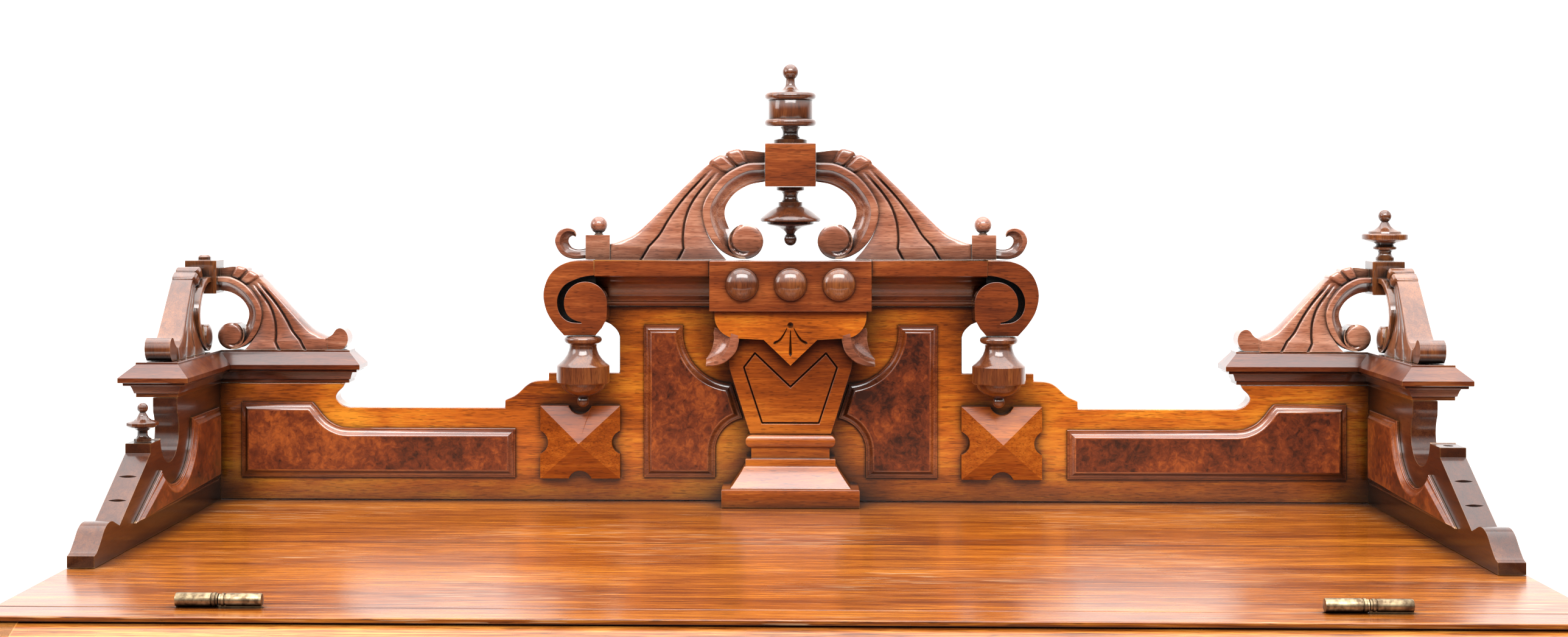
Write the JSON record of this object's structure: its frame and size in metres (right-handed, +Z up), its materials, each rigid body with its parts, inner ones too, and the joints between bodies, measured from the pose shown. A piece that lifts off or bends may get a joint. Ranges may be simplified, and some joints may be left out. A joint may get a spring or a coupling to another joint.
{
  "type": "secretary desk",
  "caption": "Wooden secretary desk with deep wing doors, a lifting quarter-round hood, a fall-front writing surface, drawers and a carved gallery along the top.",
  "frame": {"origin": "on the floor under the middle of the desk's box, with the wing doors open", "axes": "+X to the right of someone who sits at the desk, +Y to the back, +Z up"},
  "size_m": [1.682, 1.031, 1.828],
  "materials": {
    "walnut": "satin",
    "carved_walnut": "satin",
    "burl_veneer": "gloss",
    "polished_top": "gloss",
    "drawer_wood": "satin",
    "aged_brass": "satin"
  },
  "bodies": {
    "case": {"back_panel": "walnut", "side_panel_left": "walnut", "side_panel_right": "walnut", "center_burl_left": "burl_veneer", "center_burl_right": "burl_veneer", "low_burl_left": "burl_veneer", "low_burl_right": "burl_veneer", "side_burl_left": "burl_veneer", "side_burl_right": "burl_veneer", "pyramid_left": "walnut", "pyramid_right": "walnut", "cornice_left": "walnut", "cornice_right": "walnut", "volute_drop_left": "carved_walnut", "volute_drop_right": "carved_walnut", "tablet": "walnut", "apron": "walnut", "apron_ear_left": "walnut", "apron_ear_right": "walnut", "shield": "walnut", "shield_base": "walnut", "crest_scroll_left": "carved_walnut", "crest_scroll_right": "carved_walnut", "crest_terminal_left": "carved_walnut", "crest_terminal_right": "carved_walnut", "crest_block": "carved_walnut", "crest_finial": "carved_walnut", "crest_drop": "carved_walnut", "corner_cap_left": "carved_walnut", "corner_cap_right": "carved_walnut", "corner_post_left": "carved_walnut", "corner_post_right": "carved_walnut", "corner_scroll_back_left": "carved_walnut", "corner_scroll_back_right": "carved_walnut", "corner_scroll_side_left": "carved_walnut", "corner_scroll_side_right": "carved_walnut", "corner_finial_right": "carved_walnut", "side_finial_left": "carved_walnut", "top_board": "polished_top", "hinge_left_fixed": "aged_brass", "hinge_right_fixed": "aged_brass", "case_side_left": "walnut", "case_side_right": "walnut", "case_back": "walnut", "case_base": "walnut", "writing_bed": "walnut", "letter_rack_lower": "drawer_wood", "letter_rack_upper": "drawer_wood", "door_rod_left": "aged_brass", "door_rod_right": "aged_brass"},
    "hood": {"hood_lip": "polished_top", "hood_shell": "polished_top", "hinge_left_moving": "aged_brass", "hinge_right_moving": "aged_brass"},
    "fall": {"fall_front": "walnut"},
    "left_door": {"door_left": "walnut"},
    "right_door": {"door_right": "walnut"},
    "low_drawer": {"drawer_bottom": "drawer_wood"},
    "middle_drawer": {"drawer_middle": "drawer_wood"},
    "high_drawer": {"drawer_top": "drawer_wood"}
  },
  "joints": [
    {"name": "hood_lift", "type": "hinge", "parent": "case", "child": "hood", "pos_m": [0, 0.02755, 1.4351], "axis": [-1, 0, 0], "range_deg": [0, 100]},
    {"name": "fall_drop", "type": "hinge", "parent": "case", "child": "fall", "pos_m": [0, 0.04955, 0.732], "axis": [1, 0, 0], "range_deg": [0, 94]},
    {"name": "left_door_swing", "type": "hinge", "parent": "case", "child": "left_door", "pos_m": [-0.543, 0.02555, 0.6], "axis": [0, 0, -1], "range_deg": [-90, 30]},
    {"name": "right_door_swing", "type": "hinge", "parent": "case", "child": "right_door", "pos_m": [0.543, 0.02555, 0.6], "axis": [0, 0, 1], "range_deg": [-90, 30]},
    {"name": "low_drawer_slide", "type": "slide", "parent": "case", "child": "low_drawer", "axis": [0, -1, 0], "range_m": [0, 0.3]},
    {"name": "middle_drawer_slide", "type": "slide", "parent": "case", "child": "middle_drawer", "axis": [0, -1, 0], "range_m": [0, 0.3]},
    {"name": "high_drawer_slide", "type": "slide", "parent": "case", "child": "high_drawer", "axis": [0, -1, 0], "range_m": [0, 0.3]}
  ]
}
